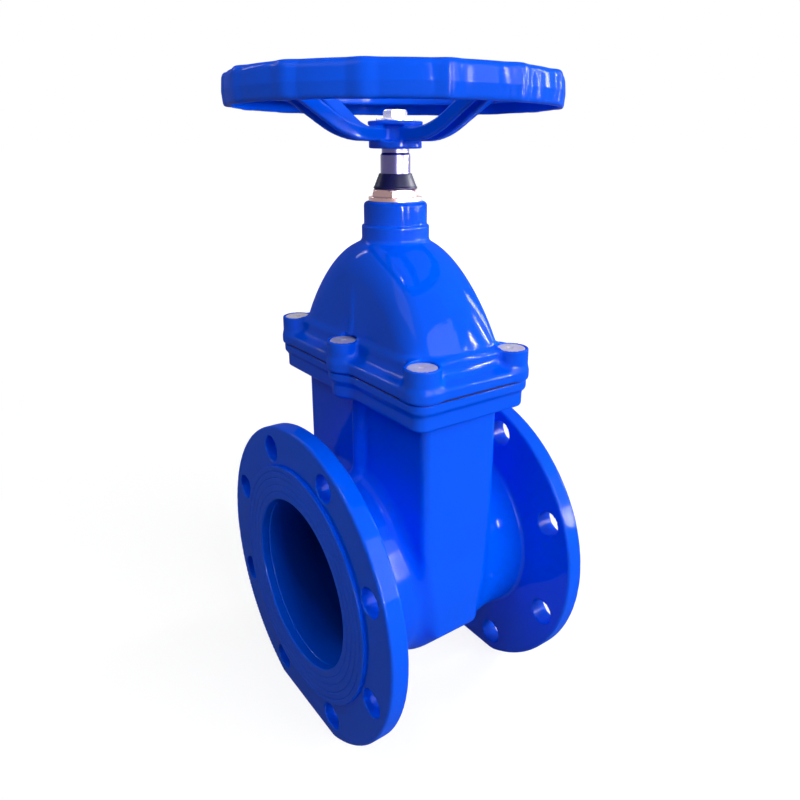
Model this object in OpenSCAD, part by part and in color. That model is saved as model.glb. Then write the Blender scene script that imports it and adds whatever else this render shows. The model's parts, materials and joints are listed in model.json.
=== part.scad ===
// Resilient seat gate valve: a flanged ductile iron body with a rubber-covered wedge gate, worked by a handwheel.
// Millimetres, +Z up along the stem, +X along the pipe, origin on the floor midway between the flange feet.

/* [Pipe ends] */
// Length from one raised sealing face to the other
face_to_face = 210; // [180:1:350]
// Bore of the pipe way
bore_d = 150; // [120:1:160]
// Outside diameter of each flange
flange_d = 280; // [270:1:300]
// Thickness of each flange with its raised face
flange_t = 19; // [16:1:24]
// Depth of the flat foot cut off the bottom of each flange
foot_cut = 9; // [4:1:13]
// Height of the raised sealing face
raised_face_t = 3; // [2:0.5:4]
// Distance from the bolt circle to the flange edge
bolt_edge = 20; // [17:0.5:24]
// Bolt hole diameter
bolt_hole_d = 23; // [18:1:24]
// Bolt holes in each flange
bolt_hole_count = 8; // [4:4:12]
// Flat land between the bolt holes and the raised face
hole_land = 3; // [1:0.5:6]
// Chamfer on the flange edges
flange_edge = 1.5; // [0.5:0.5:3]
// Wall of the neck between flange and chest
neck_wall = 9; // [7:0.5:12]
// Radius of the fillet where neck and flange meet
neck_root = 5; // [2:1:8]

/* [Chest] */
// Length of the chest across the pipe
chest_length = 184; // [180:1:196]
// Width of the chest along the pipe at its top
chest_width = 75.5; // [72:0.5:90]
// Width of the chest at its foot
chest_foot_width = 50; // [48:1:60]
// Height above the bore axis where the chest starts to narrow
taper_top = 60; // [40:1:80]
// Depth below the bore axis where the narrowing ends
taper_foot = 40; // [20:1:60]
// Radius of the upright chest edges
chest_corner_r = 7; // [3:1:12]
// Radius of the rounded belly under the bore
belly_r = 90; // [88:1:92]
// Steepness of the slanted cuts between the belly and the chest's ends
belly_slope = 47; // [42:1:54]
// Wall thickness of the castings
wall = 8; // [7:0.5:9]
// Radius of the half-round rib on each X side
chest_rib_r = 7; // [4:0.5:9]

/* [Bonnet joint] */
// Height of the joint above the bore axis
joint_rise = 187; // [180:1:200]
// Spacing of the corner bolts along the pipe
corner_bolt_width = 88; // [80:1:96]
// Spacing of the corner bolts across the pipe
corner_bolt_length = 192; // [188:1:204]
// Spacing of the middle bolts along the pipe
middle_bolt_width = 104; // [100:1:110]
// Diameter of the round boss around each bolt
boss_d = 28; // [27:0.5:31]
// Thickness of the body lip under the joint
lip_t = 9; // [6:1:12]
// How far the lip stands back from the bonnet edge
lip_inset = 0.5; // [0.5:0.5:2.5]
// Thickness of the step under the body lip
skirt_t = 13; // [8:1:16]
// How far the step stands back from the lip
skirt_inset = 3; // [2:0.5:5]
// Thickness of the gasket
gasket_t = 1.5; // [1:0.5:3]
// How far the gasket edge stands back from the lip
gasket_inset = 1; // [0.5:0.5:3]
// Thickness of the bonnet ledge at its edge
ledge_t = 10; // [8:1:14]
// Width of the ledge outside the raised curb
ledge_width = 10.5; // [8:0.5:13]
// Height of the curb and the bolt bosses above the gasket
curb_rise = 24.5; // [18:0.5:30]

/* [Bonnet dome] */
// Height of the dome above the curb
dome_rise = 77; // [70:0.5:90]
// Diameter of the dome at the curb
dome_d = 193; // [180:1:196]
// Width of the dome between its flat X sides, at the curb
dome_width = 91; // [84:0.5:92]
// How much each flat side leans in by the dome's top
dome_lean = 5; // [0:0.5:8]
// Width of the rib above each middle bolt
dome_rib_width = 6; // [4:0.5:10]
// How far that rib stands out
dome_rib_out = 1.5; // [1:0.5:6]
// Height of that rib above the curb
dome_rib_rise = 44; // [30:1:50]

/* [Bonnet neck] */
// Diameter of the lower round boss
boss_low_d = 55.4; // [52:0.2:60]
// Height of the lower round boss above the dome
boss_low_rise = 13; // [8:0.5:18]
// Diameter of the upper round boss
boss_top_d = 51.6; // [48:0.2:54]
// Height of the upper round boss
boss_top_rise = 18.5; // [16:0.5:22]
// Depth of the gland recess
gland_depth = 20; // [18:0.5:24]
// Diameter of the gland recess
gland_d = 36; // [34:0.5:38]

/* [Bolts] */
// Thread diameter of the bonnet bolts
bolt_d = 12; // [10:1:12]
// Head diameter of the bonnet bolts
bolt_head_d = 18; // [16:0.5:18]
// Head height of the bonnet bolts
bolt_head_h = 12; // [8:1:13]
// Thickness of the wax seal over each bolt
seal_t = 5; // [3:0.5:7]
// Diameter of the counterbore in each boss
seal_d = 23; // [20:0.5:23.5]
// Depth of each bolt in the body
bolt_grip = 14; // [10:1:18]

/* [Gland] */
// Diameter of the gland nut flange
nut_flange_d = 43.8; // [40:0.2:48]
// Thickness of the gland nut flange
nut_flange_t = 3.6; // [2:0.2:6]
// Size of the gland nut hexagon across its flats
nut_flats = 34.5; // [30:0.5:36]
// Turn of the hexagon from the pipe axis
nut_turn = 48; // [0:1:59]
// Height of the hexagon
nut_hex_h = 6; // [4:0.5:10]
// Outside diameter of the dust cap at its foot
cap_foot_d = 35.5; // [32:0.5:36]
// Outside diameter of the dust cap at its top
cap_top_d = 26.5; // [26:0.5:30]
// Height of the dust cap
cap_h = 12; // [8:0.5:14]

/* [Stem] */
// Diameter of the stem
stem_d = 24; // [20:0.5:26]
// Length of bare stem between dust cap and handwheel
stem_show = 19; // [16:0.5:26]
// Diameter of the thrust collar inside the gland
collar_d = 31; // [28:0.5:33]
// Thickness of the thrust collar
collar_t = 5; // [4:0.5:8]
// Side of the square that drives the handwheel
drive_square = 15; // [13:0.5:15]
// Radial gap where the stem turns
stem_fit = 0.08; // [0.02:0.01:0.1]

/* [Handwheel] */
// Diameter over the grips
wheel_d = 263; // [240:1:300]
// Height of the rim
rim_h = 25; // [20:1:30]
// Width of the rim section
rim_w = 21; // [18:1:26]
// Wall of the hollow rim
rim_wall = 4.5; // [3:0.5:6]
// How much less deep the inner rim wall is
rim_inner_lift = 9; // [5:1:12]
// Radius of the rounded upper rim edges
rim_edge_r = 5.5; // [2:0.5:8]
// Number of grips around the rim
grip_count = 15; // [8:1:20]
// Turn of the first grip from the pipe axis
grip_turn = 10; // [0:1:24]
// Radius of each grip
grip_r = 9; // [6:0.5:12]
// How far each grip stands out
grip_out = 2; // [1:0.5:3]
// Height of the rim foot above the hub foot
rim_rise = 28.8; // [20:0.2:40]
// Number of spokes
spoke_count = 4; // [3:1:6]
// Turn of the first spoke from the pipe axis
spoke_turn = 4; // [0:1:45]
// Width of a spoke
spoke_w = 17; // [12:0.5:20]
// Wall of the hollow spokes
spoke_wall = 4; // [3:0.5:5]
// Depth of a spoke
spoke_h = 10.5; // [9:0.5:14]
// Distance from the stem axis at which the spokes begin to rise
spoke_level_r = 30; // [26:1:40]
// Distance from the stem axis at which the spokes stop curving
spoke_bend_r = 68; // [55:1:80]
// Height at which the spoke foot meets the inner rim wall, above that wall's foot
spoke_meet = 4.5; // [1:0.5:8]
// Diameter of the hub foot plate
hub_foot_d = 42; // [38:0.5:48]
// Thickness of the hub foot plate
hub_foot_t = 5.5; // [4:0.5:8]
// Diameter of the hub top plate
hub_top_d = 43.4; // [38:0.2:48]
// Thickness of the hub top plate
hub_top_t = 3.2; // [2:0.2:5]
// Diameter of the hub core
hub_core_d = 33; // [30:0.5:36]
// Height of the hub
hub_h = 20.4; // [18:0.2:26]
// Diameter of the washer under the wheel bolt
washer_d = 30.6; // [26:0.2:36]
// Thickness of that washer
washer_t = 2; // [1:0.5:4]
// Size of the wheel bolt head across its flats
wheel_bolt_flats = 17; // [14:1:19]
// Height of the wheel bolt head
wheel_bolt_head_h = 6.5; // [5:0.5:9]
// Thread diameter of the wheel bolt
wheel_bolt_d = 8; // [6:1:9]
// Depth of the wheel bolt in the stem
wheel_bolt_grip = 16; // [10:1:18]

/* [Wedge] */
// Room kept around the wedge inside the chest
wedge_room = 5; // [5:0.5:6]
// Room kept between the wedge and the belly
wedge_foot_room = 3; // [2.5:0.5:4]
// Height of the wedge shoulder above the bore axis
shoulder_rise = 40; // [30:1:44]
// Height of the wedge nut housing above the shoulder
housing_rise = 50; // [40:1:54]
// Diameter of the nut housing and the central tube
housing_d = 38; // [36:0.5:42]
// Extra lift beyond the bore when open
lift_spare = 4; // [0:1:6]
// Height of the wedge nut above the housing
wedge_nut_h = 16; // [12:1:18]
// Depth of the wedge nut spigot in the housing
wedge_nut_spigot = 10; // [6:1:14]

/* [Clearances] */
// Radial room around bolts in their holes
bolt_fit = 0.5; // [0.3:0.1:1.5]
// Gap at parts that sit inside each other
seat_gap = 0.3; // [0.2:0.05:0.4]
// Gap where the dust cap meets the turning stem
lip_gap = 0.4; // [0.3:0.1:0.6]
// Play of the collar above and below
collar_play = 1; // [0.5:0.5:2]
// Room around the stem inside the wedge
stem_room = 2; // [1.5:0.5:3]

/* [Hidden] */
$fn = 64;
fillet_step = 18;
eps = 0.02;
axis_z = flange_d / 2 - foot_cut;
bolt_circle_d = flange_d - 2 * bolt_edge;
raised_face_d = bolt_circle_d - bolt_hole_d - 2 * hole_land;
neck_r = bore_d / 2 + neck_wall;
joint_z = axis_z + joint_rise;
bonnet_z = joint_z + gasket_t;
curb_z = bonnet_z + curb_rise;
dome_top_z = curb_z + dome_rise;
boss_step_z = dome_top_z + boss_low_rise;
boss_top_z = boss_step_z + boss_top_rise;
nut_hex_z = boss_top_z + nut_flange_t;
cap_z = nut_hex_z + nut_hex_h;
cap_top_z = cap_z + cap_h;
hub_z = cap_top_z + stem_show;
hub_top_z = hub_z + hub_h;
rim_z = hub_z + rim_rise;
lip_z = joint_z - lip_t;
skirt_z = lip_z - skirt_t;
half_length = chest_length / 2;
chest_in_half = half_length - wall;
belly_in_r = belly_r - wall;
gland_floor_z = boss_top_z - gland_depth;
collar_z = gland_floor_z + collar_play;
spigot_z = collar_z + collar_t + collar_play;
wedge_r = min(chest_in_half - wedge_room, belly_in_r - wedge_foot_room);
lift = bore_d + lift_spare;
wedge_top_z = axis_z + shoulder_rise + housing_rise;
wedge_nut_top_z = wedge_top_z + wedge_nut_h;
tube_foot_z = axis_z - bore_d / 2 + 6;
stem_foot_z = wedge_top_z - wedge_nut_spigot - 2;
hollow_foot_z = stem_foot_z - lift - 3;
dome_top_r = boss_low_d / 2;
dome_base_r = dome_d / 2;
dome_flat = dome_width / 2;
curb_half_x = corner_bolt_width / 2 + boss_d / 2 - ledge_width;
curb_half_y = corner_bolt_length / 2 + boss_d / 2 - ledge_width;
body_boss_r = boss_d / 2 - lip_inset;
bolt_top_z = curb_z - seal_t;
bolt_seat_z = bolt_top_z - bolt_head_h;
bolt_foot_z = joint_z - bolt_grip;
collar_r = collar_d / 2;
grip_base_r = wheel_d / 2 - grip_out;
rim_in_r = wheel_d / 2 - rim_w;
spoke_from_r = hub_core_d / 2 - 2;
spoke_to_r = rim_in_r + rim_wall / 2;
spoke_steps = 12;
spoke_middle_r = (spoke_level_r + spoke_bend_r) / 2;
spoke_incline = (rim_rise + rim_inner_lift + spoke_meet - hub_foot_t) / (rim_in_r - spoke_middle_r);
bolt_places = [
    [-corner_bolt_width / 2, -corner_bolt_length / 2],
    [-middle_bolt_width / 2, 0],
    [-corner_bolt_width / 2, corner_bolt_length / 2],
    [corner_bolt_width / 2, -corner_bolt_length / 2],
    [middle_bolt_width / 2, 0],
    [corner_bolt_width / 2, corner_bolt_length / 2]
];

// Plan of the joint: a rectangle with round corners and a lobe at each middle bolt.
module joint_plan(r) {
    half_x = corner_bolt_width / 2;
    half_y = corner_bolt_length / 2;
    square([2 * half_x + 2 * r, 2 * half_y], center = true);
    square([2 * half_x, 2 * half_y + 2 * r], center = true);
    for (p = bolt_places) {
        translate(p)
            circle(r = r);
    }
    square([middle_bolt_width, 2 * r], center = true);
}

// Plan of the wedge pocket where it passes the joint.
module pocket_plan() {
    square([2 * upper_in_half(), 2 * chest_in_half], center = true);
}

function upper_in_half() = chest_width / 2 - wall;

// A straight hole or pin along the pipe.
module along_x(d, len, x0) {
    translate([x0, 0, axis_z])
        rotate([0, 90, 0])
            cylinder(d = d, h = len);
}

// One flange with its neck, sealing face outward along +X.
module pipe_end() {
    half = face_to_face / 2;
    back = half - flange_t;
    face = half - raised_face_t;
    difference() {
        translate([0, 0, axis_z])
            rotate([0, 90, 0])
                rotate_extrude($fn = 128)
                    polygon([
                        [0, 0],
                        [neck_r, 0],
                        for (a = [0:fillet_step:90])
                            [neck_r + neck_root * (1 - cos(a)), back - neck_root * (1 - sin(a))],
                        [flange_d / 2 - flange_edge, back],
                        [flange_d / 2, back + flange_edge],
                        [flange_d / 2, face - flange_edge],
                        [flange_d / 2 - flange_edge, face],
                        [raised_face_d / 2, face],
                        [raised_face_d / 2, half],
                        [0, half]
                    ]);
        for (i = [0:bolt_hole_count - 1]) {
            translate([back - 1, 0, axis_z])
                rotate([180 / bolt_hole_count + i * 360 / bolt_hole_count, 0, 0])
                    translate([0, 0, bolt_circle_d / 2])
                        rotate([0, 90, 0])
                            cylinder(d = bolt_hole_d, h = flange_t + 2, $fn = 32);
        }
        translate([0, -flange_d, -flange_d])
            cube([face_to_face, 2 * flange_d, flange_d]);
    }
}

// Side view of the chest across the pipe: straight ends, slanted cuts and a round belly.
module chest_side(half, r) {
    across = r * cos(belly_slope);
    below = r * sin(belly_slope);
    drop = (r - half * cos(belly_slope)) / sin(belly_slope);
    translate([0, axis_z]) {
        polygon([
            [-half, -drop],
            [-across, -below],
            [across, -below],
            [half, -drop],
            [half, joint_z - axis_z],
            [-half, joint_z - axis_z]
        ]);
        intersection() {
            circle(r = r, $fn = 128);
            translate([-across, -r])
                square([2 * across, r]);
        }
    }
}

// Front view of the chest along the pipe: straight above, narrowing towards the foot.
module chest_front(cut) {
    top = chest_width / 2 - cut;
    foot = chest_foot_width / 2 - cut;
    polygon([
        [-foot, axis_z - belly_r - 1],
        [foot, axis_z - belly_r - 1],
        [foot, axis_z - taper_foot],
        [top, axis_z + taper_top],
        [top, joint_z],
        [-top, joint_z],
        [-top, axis_z + taper_top],
        [-foot, axis_z - taper_foot]
    ]);
}

module chest_block() {
    intersection() {
        rotate([90, 0, 90])
            linear_extrude(height = chest_width + 2, center = true)
                chest_side(half_length, belly_r);
        rotate([90, 0, 0])
            linear_extrude(height = chest_length + 2, center = true)
                chest_front(0);
        hull() {
            chest_edges(axis_z - belly_r, chest_foot_width / 2);
            chest_edges(axis_z - taper_foot, chest_foot_width / 2);
            chest_edges(axis_z + taper_top, chest_width / 2);
            chest_edges(joint_z, chest_width / 2);
        }
    }
}

module chest_edges(z, half_x) {
    for (sx = [-1, 1]) {
        for (sy = [-1, 1]) {
            translate([sx * (half_x - chest_corner_r), sy * (half_length - chest_corner_r), z])
                cylinder(r = chest_corner_r, h = eps, $fn = 32);
        }
    }
}

module wedge_pocket() {
    intersection() {
        rotate([90, 0, 90])
            linear_extrude(height = chest_width, center = true)
                chest_side(chest_in_half, belly_in_r);
        rotate([90, 0, 0])
            linear_extrude(height = chest_length, center = true)
                chest_front(wall);
    }
    translate([0, 0, joint_z - 1])
        linear_extrude(height = 2)
            pocket_plan();
}

module valve_body() {
    color([0.02, 0.2, 0.75])
        difference() {
            union() {
                for (s = [0, 180]) {
                    rotate([0, 0, s])
                        pipe_end();
                }
                chest_block();
                translate([0, 0, lip_z])
                    linear_extrude(height = lip_t)
                        joint_plan(body_boss_r);
                translate([0, 0, skirt_z])
                    linear_extrude(height = skirt_t + eps)
                        joint_plan(body_boss_r - skirt_inset);
                for (s = [-1, 1]) {
                    translate([s * chest_width / 2, 0, axis_z + taper_top])
                        cylinder(r = chest_rib_r, h = skirt_z - axis_z - taper_top + 1, $fn = 32);
                }
            }
            wedge_pocket();
            along_x(bore_d, face_to_face + 2, -face_to_face / 2 - 1, $fn = 128);
            for (p = bolt_places) {
                translate([p[0], p[1], bolt_foot_z - 2])
                    cylinder(d = bolt_d + 2 * seat_gap, h = bolt_grip + 3, $fn = 32);
            }
        }
}

module bonnet_gasket() {
    color([0.08, 0.08, 0.09])
        translate([0, 0, joint_z])
            difference() {
                linear_extrude(height = gasket_t)
                    joint_plan(body_boss_r - gasket_inset);
                translate([0, 0, -1])
                    linear_extrude(height = gasket_t + 2)
                        pocket_plan();
                for (p = bolt_places) {
                    translate([p[0], p[1], -1])
                        cylinder(d = bolt_d + 2 * bolt_fit, h = gasket_t + 2, $fn = 32);
                }
            }
}

function dome_r(t, cut) = sqrt(pow(dome_top_r, 2) + (pow(dome_base_r, 2) - pow(dome_top_r, 2)) * (1 - t)) - cut;

// Round dome from the curb up, before its sides are cut flat.
module dome_solid(cut) {
    steps = 12;
    rise = dome_rise - cut;
    base = [for (i = [0:steps]) [dome_r(i / steps, cut), rise * i / steps]];
    rotate_extrude($fn = 96)
        polygon(concat([[0, -1], [dome_r(0, cut), -1]], base, [[0, rise]]));
}

// Slab along the pipe from inside the curb up, whose two ends lean in as the dome's flat sides do.
module dome_slab(width, half_foot, rise) {
    lean = dome_lean * rise / dome_rise;
    translate([0, 0, curb_z])
        rotate([90, 0, 0])
            linear_extrude(height = width, center = true)
                polygon([
                    [-half_foot, -1],
                    [half_foot, -1],
                    [half_foot - lean, rise],
                    [lean - half_foot, rise]
                ]);
}

module bonnet_shell() {
    translate([0, 0, bonnet_z])
        linear_extrude(height = ledge_t)
            joint_plan(boss_d / 2);
    translate([0, 0, bonnet_z])
        linear_extrude(height = curb_rise)
            square([2 * curb_half_x, 2 * curb_half_y], center = true);
    for (p = bolt_places) {
        translate([p[0], p[1], bonnet_z])
            cylinder(d = boss_d, h = curb_rise, $fn = 48);
    }
    intersection() {
        translate([0, 0, curb_z])
            dome_solid(0);
        dome_slab(dome_d, dome_flat, dome_rise);
    }
    dome_slab(dome_rib_width, dome_flat + dome_rib_out, dome_rib_rise);
    translate([0, 0, dome_top_z - 8])
        cylinder(d = boss_low_d, h = boss_low_rise + 8);
    translate([0, 0, boss_step_z])
        cylinder(d = boss_top_d, h = boss_top_rise);
}

module bonnet() {
    color([0.02, 0.2, 0.75])
        difference() {
            bonnet_shell();
            translate([0, 0, bonnet_z - 1])
                linear_extrude(height = curb_rise + 1 - eps)
                    pocket_plan();
            intersection() {
                translate([0, 0, curb_z - 1])
                    dome_solid(wall);
                translate([0, 0, curb_z + dome_rise / 2])
                    cube([2 * upper_in_half(), 2 * chest_in_half, dome_rise + 4], center = true);
            }
            translate([0, 0, curb_z])
                cylinder(r = stem_d / 2 + stem_fit, h = boss_top_z - curb_z + 1);
            translate([0, 0, gland_floor_z])
                cylinder(d = gland_d, h = gland_depth + 1);
            for (p = bolt_places) {
                translate([p[0], p[1], bonnet_z - 1])
                    cylinder(d = bolt_d + 2 * bolt_fit, h = curb_rise + 2, $fn = 32);
                translate([p[0], p[1], bolt_seat_z])
                    cylinder(d = seal_d, h = curb_rise, $fn = 48);
            }
        }
}

module bonnet_bolt(i) {
    p = bolt_places[i];
    color([0.55, 0.56, 0.58])
        translate([p[0], p[1], 0])
            difference() {
                union() {
                    translate([0, 0, bolt_foot_z])
                        cylinder(d = bolt_d, h = bolt_seat_z - bolt_foot_z + 1, $fn = 32);
                    translate([0, 0, bolt_seat_z])
                        cylinder(d = bolt_head_d, h = bolt_head_h, $fn = 32);
                }
                translate([0, 0, bolt_top_z - bolt_head_h / 2])
                    cylinder(d = bolt_d * 0.8, h = bolt_head_h, $fn = 6);
            }
}

module bolt_seal(i) {
    p = bolt_places[i];
    color([0.62, 0.6, 0.72])
        translate([p[0], p[1], bolt_top_z])
            cylinder(d = seal_d - 2 * seat_gap, h = seal_t, $fn = 48);
}

module gland_nut() {
    color([0.75, 0.55, 0.3])
        difference() {
            union() {
                translate([0, 0, spigot_z])
                    cylinder(d = gland_d - 2 * seat_gap, h = boss_top_z - spigot_z + 1);
                translate([0, 0, boss_top_z])
                    cylinder(d = nut_flange_d, h = nut_flange_t);
                translate([0, 0, nut_hex_z])
                    rotate([0, 0, nut_turn])
                        cylinder(d = nut_flats / cos(30), h = nut_hex_h, $fn = 6);
            }
            translate([0, 0, spigot_z - 1])
                cylinder(r = stem_d / 2 + stem_fit, h = cap_z - spigot_z + 2);
        }
}

module dust_cap() {
    color([0.05, 0.05, 0.06])
        translate([0, 0, cap_z])
            difference() {
                cylinder(d1 = cap_foot_d, d2 = cap_top_d, h = cap_h);
                translate([0, 0, -1])
                    cylinder(r = stem_d / 2 + lip_gap, h = cap_h + 2);
            }
}

module stem() {
    color([0.72, 0.72, 0.74])
        difference() {
            union() {
                translate([0, 0, stem_foot_z])
                    cylinder(d = stem_d, h = hub_z - 5 - stem_foot_z);
                translate([0, 0, hub_z - 5])
                    cylinder(d1 = stem_d, d2 = stem_d - 2, h = 2);
                translate([0, 0, hub_z - 3])
                    cylinder(d = stem_d - 2, h = 3);
                translate([-drive_square / 2, -drive_square / 2, hub_z - 1])
                    cube([drive_square, drive_square, hub_h]);
                translate([0, 0, collar_z])
                    cylinder(r = collar_r, h = collar_t);
            }
            translate([0, 0, hub_top_z - wheel_bolt_grip - 1])
                cylinder(d = wheel_bolt_d + 2 * seat_gap, h = wheel_bolt_grip + 2, $fn = 32);
        }
}

// Height of the spoke foot line above the hub foot, at a distance from the stem axis.
function spoke_foot(r) =
    hub_foot_t + (r > spoke_bend_r
        ? spoke_incline * (r - spoke_middle_r)
        : spoke_slope(r) * max(0, r - spoke_level_r) / 2);

// Slope of the foot line: level, then curving up, then straight to the rim.
function spoke_slope(r) = spoke_incline * min(1, max(0, r - spoke_level_r) / (spoke_bend_r - spoke_level_r));

// A point of the spoke's side view, its depth less a wall above the foot line.
function spoke_over(r, less) =
    [r, spoke_foot(r)] + (spoke_h - less) * [-spoke_slope(r), 1] / norm([spoke_slope(r), 1]);

module spoke_side(drop, less) {
    span = spoke_to_r - spoke_from_r;
    radii = [for (i = [0:spoke_steps]) spoke_from_r + span * i / spoke_steps];
    low = [for (r = radii) [r, spoke_foot(r) - drop]];
    high = [for (i = [spoke_steps:-1:0]) spoke_over(radii[i], less)];
    intersection() {
        polygon(concat(low, high));
        translate([0, -drop])
            square([spoke_to_r, rim_rise + rim_h - rim_edge_r + drop]);
    }
}

module spoke_hollow_side() {
    intersection() {
        spoke_side(1, spoke_wall);
        translate([hub_foot_d / 2 + spoke_wall, -1])
            square([rim_in_r - hub_foot_d / 2 - 2 * spoke_wall, rim_rise + rim_h]);
    }
}

module spoke() {
    difference() {
        rotate([90, 0, 0])
            linear_extrude(height = spoke_w, center = true)
                spoke_side(0, 0);
        rotate([90, 0, 0])
            linear_extrude(height = spoke_w - 2 * spoke_wall, center = true)
                spoke_hollow_side();
    }
}

module hub() {
    cylinder(d = hub_foot_d, h = hub_foot_t);
    cylinder(d = hub_core_d, h = hub_h);
    translate([0, 0, hub_h - hub_top_t])
        cylinder(d = hub_top_d, h = hub_top_t);
}

// Bulges around the outside of the rim, clear of its hollow.
module grips() {
    translate([0, 0, rim_rise + rim_edge_r / 2])
        linear_extrude(height = rim_h - rim_edge_r)
            for (i = [0:grip_count - 1]) {
                rotate([0, 0, grip_turn + i * 360 / grip_count])
                    difference() {
                        translate([wheel_d / 2 - grip_r, 0])
                            circle(r = grip_r, $fn = 24);
                        translate([-wheel_d, -wheel_d])
                            square([wheel_d + grip_base_r - rim_wall / 2, 2 * wheel_d]);
                    }
            }
}

module rim() {
    difference() {
        translate([0, 0, rim_rise])
            rotate_extrude($fn = 96)
                rim_section();
        translate([0, 0, rim_rise - 1])
            rotate_extrude($fn = 96)
                translate([rim_in_r + rim_wall, 0])
                    square([grip_base_r - 2 * rim_wall - rim_in_r, rim_h - rim_wall + 1]);
    }
}

module handwheel() {
    color([0.02, 0.2, 0.75])
        translate([0, 0, hub_z])
            difference() {
                union() {
                    hub();
                    rim();
                    grips();
                    for (i = [0:spoke_count - 1]) {
                        rotate([0, 0, spoke_turn + i * 360 / spoke_count])
                            spoke();
                    }
                }
                translate([-drive_square / 2 - seat_gap, -drive_square / 2 - seat_gap, -1])
                    cube([drive_square + 2 * seat_gap, drive_square + 2 * seat_gap, hub_h + 2]);
            }
}

// Rim section: a hollow open below, its upper edges round.
module rim_section() {
    foot_edge = rim_edge_r / 2;
    polygon([
        [rim_in_r, rim_inner_lift],
        [rim_in_r + rim_wall, rim_inner_lift],
        [grip_base_r - rim_wall, 0],
        [grip_base_r - foot_edge, 0],
        [grip_base_r, foot_edge],
        for (a = [0:fillet_step:90])
            [grip_base_r - rim_edge_r * (1 - cos(a)), rim_h - rim_edge_r * (1 - sin(a))],
        for (a = [90:fillet_step:180])
            [rim_in_r + rim_edge_r * (1 + cos(a)), rim_h - rim_edge_r * (1 - sin(a))]
    ]);
}

module wheel_washer() {
    color([0.75, 0.75, 0.77])
        translate([0, 0, hub_top_z])
            difference() {
                cylinder(d = washer_d, h = washer_t);
                translate([0, 0, -1])
                    cylinder(d = wheel_bolt_d + 2 * bolt_fit, h = washer_t + 2, $fn = 32);
            }
}

module wheel_bolt() {
    color([0.75, 0.75, 0.77])
        translate([0, 0, hub_top_z + washer_t]) {
            cylinder(d = wheel_bolt_flats / cos(30), h = wheel_bolt_head_h, $fn = 6);
            translate([0, 0, -wheel_bolt_grip])
                cylinder(d = wheel_bolt_d, h = wheel_bolt_grip + 1, $fn = 32);
        }
}

module wedge_side() {
    shoulder_z = axis_z + shoulder_rise;
    translate([0, axis_z])
        circle(r = wedge_r, $fn = 96);
    translate([-wedge_r, axis_z])
        square([2 * wedge_r, shoulder_rise]);
    polygon([
        [-wedge_r, shoulder_z],
        [wedge_r, shoulder_z],
        [housing_d / 2, wedge_top_z],
        [-housing_d / 2, wedge_top_z]
    ]);
}

module wedge_front() {
    top = chest_width / 2 - wall - wedge_room;
    foot = chest_foot_width / 2 - wall - wedge_room;
    polygon([
        [-foot, axis_z - wedge_r - 1],
        [foot, axis_z - wedge_r - 1],
        [foot, axis_z - taper_foot],
        [top, axis_z + taper_top],
        [housing_d / 2, wedge_top_z],
        [-housing_d / 2, wedge_top_z],
        [-top, axis_z + taper_top],
        [-foot, axis_z - taper_foot]
    ]);
}

module wedge() {
    color([0.04, 0.04, 0.05])
        difference() {
            union() {
                intersection() {
                    rotate([90, 0, 90])
                        linear_extrude(height = chest_width, center = true)
                            wedge_side();
                    rotate([90, 0, 0])
                        linear_extrude(height = chest_length, center = true)
                            wedge_front();
                }
                translate([0, 0, tube_foot_z])
                    cylinder(d = housing_d, h = wedge_top_z - tube_foot_z);
            }
            translate([0, 0, hollow_foot_z])
                cylinder(r = stem_d / 2 + stem_room, h = wedge_top_z - hollow_foot_z + 1);
        }
}

module wedge_nut() {
    color([0.75, 0.55, 0.3])
        difference() {
            union() {
                translate([0, 0, wedge_top_z - wedge_nut_spigot])
                    cylinder(r = stem_d / 2 + stem_room - seat_gap, h = wedge_nut_spigot + 1);
                translate([0, 0, wedge_top_z])
                    cylinder(d = housing_d, h = wedge_nut_h, $fn = 8);
            }
            translate([0, 0, wedge_top_z - wedge_nut_spigot - 1])
                cylinder(r = stem_d / 2 + stem_fit, h = wedge_nut_spigot + wedge_nut_h + 2);
        }
}

valve_body();
bonnet();
bonnet_gasket();
bonnet_bolt(0);  // bonnet_bolt_1
bonnet_bolt(1);  // bonnet_bolt_2
bonnet_bolt(2);  // bonnet_bolt_3
bonnet_bolt(3);  // bonnet_bolt_4
bonnet_bolt(4);  // bonnet_bolt_5
bonnet_bolt(5);  // bonnet_bolt_6
bolt_seal(0);  // bolt_seal_1
bolt_seal(1);  // bolt_seal_2
bolt_seal(2);  // bolt_seal_3
bolt_seal(3);  // bolt_seal_4
bolt_seal(4);  // bolt_seal_5
bolt_seal(5);  // bolt_seal_6
gland_nut();
dust_cap();
stem();
handwheel();
wheel_washer();
wheel_bolt();
wedge();
wedge_nut();
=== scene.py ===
import json
import math

import bmesh
import bpy
import numpy as np
from mathutils import Matrix, Vector


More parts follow.
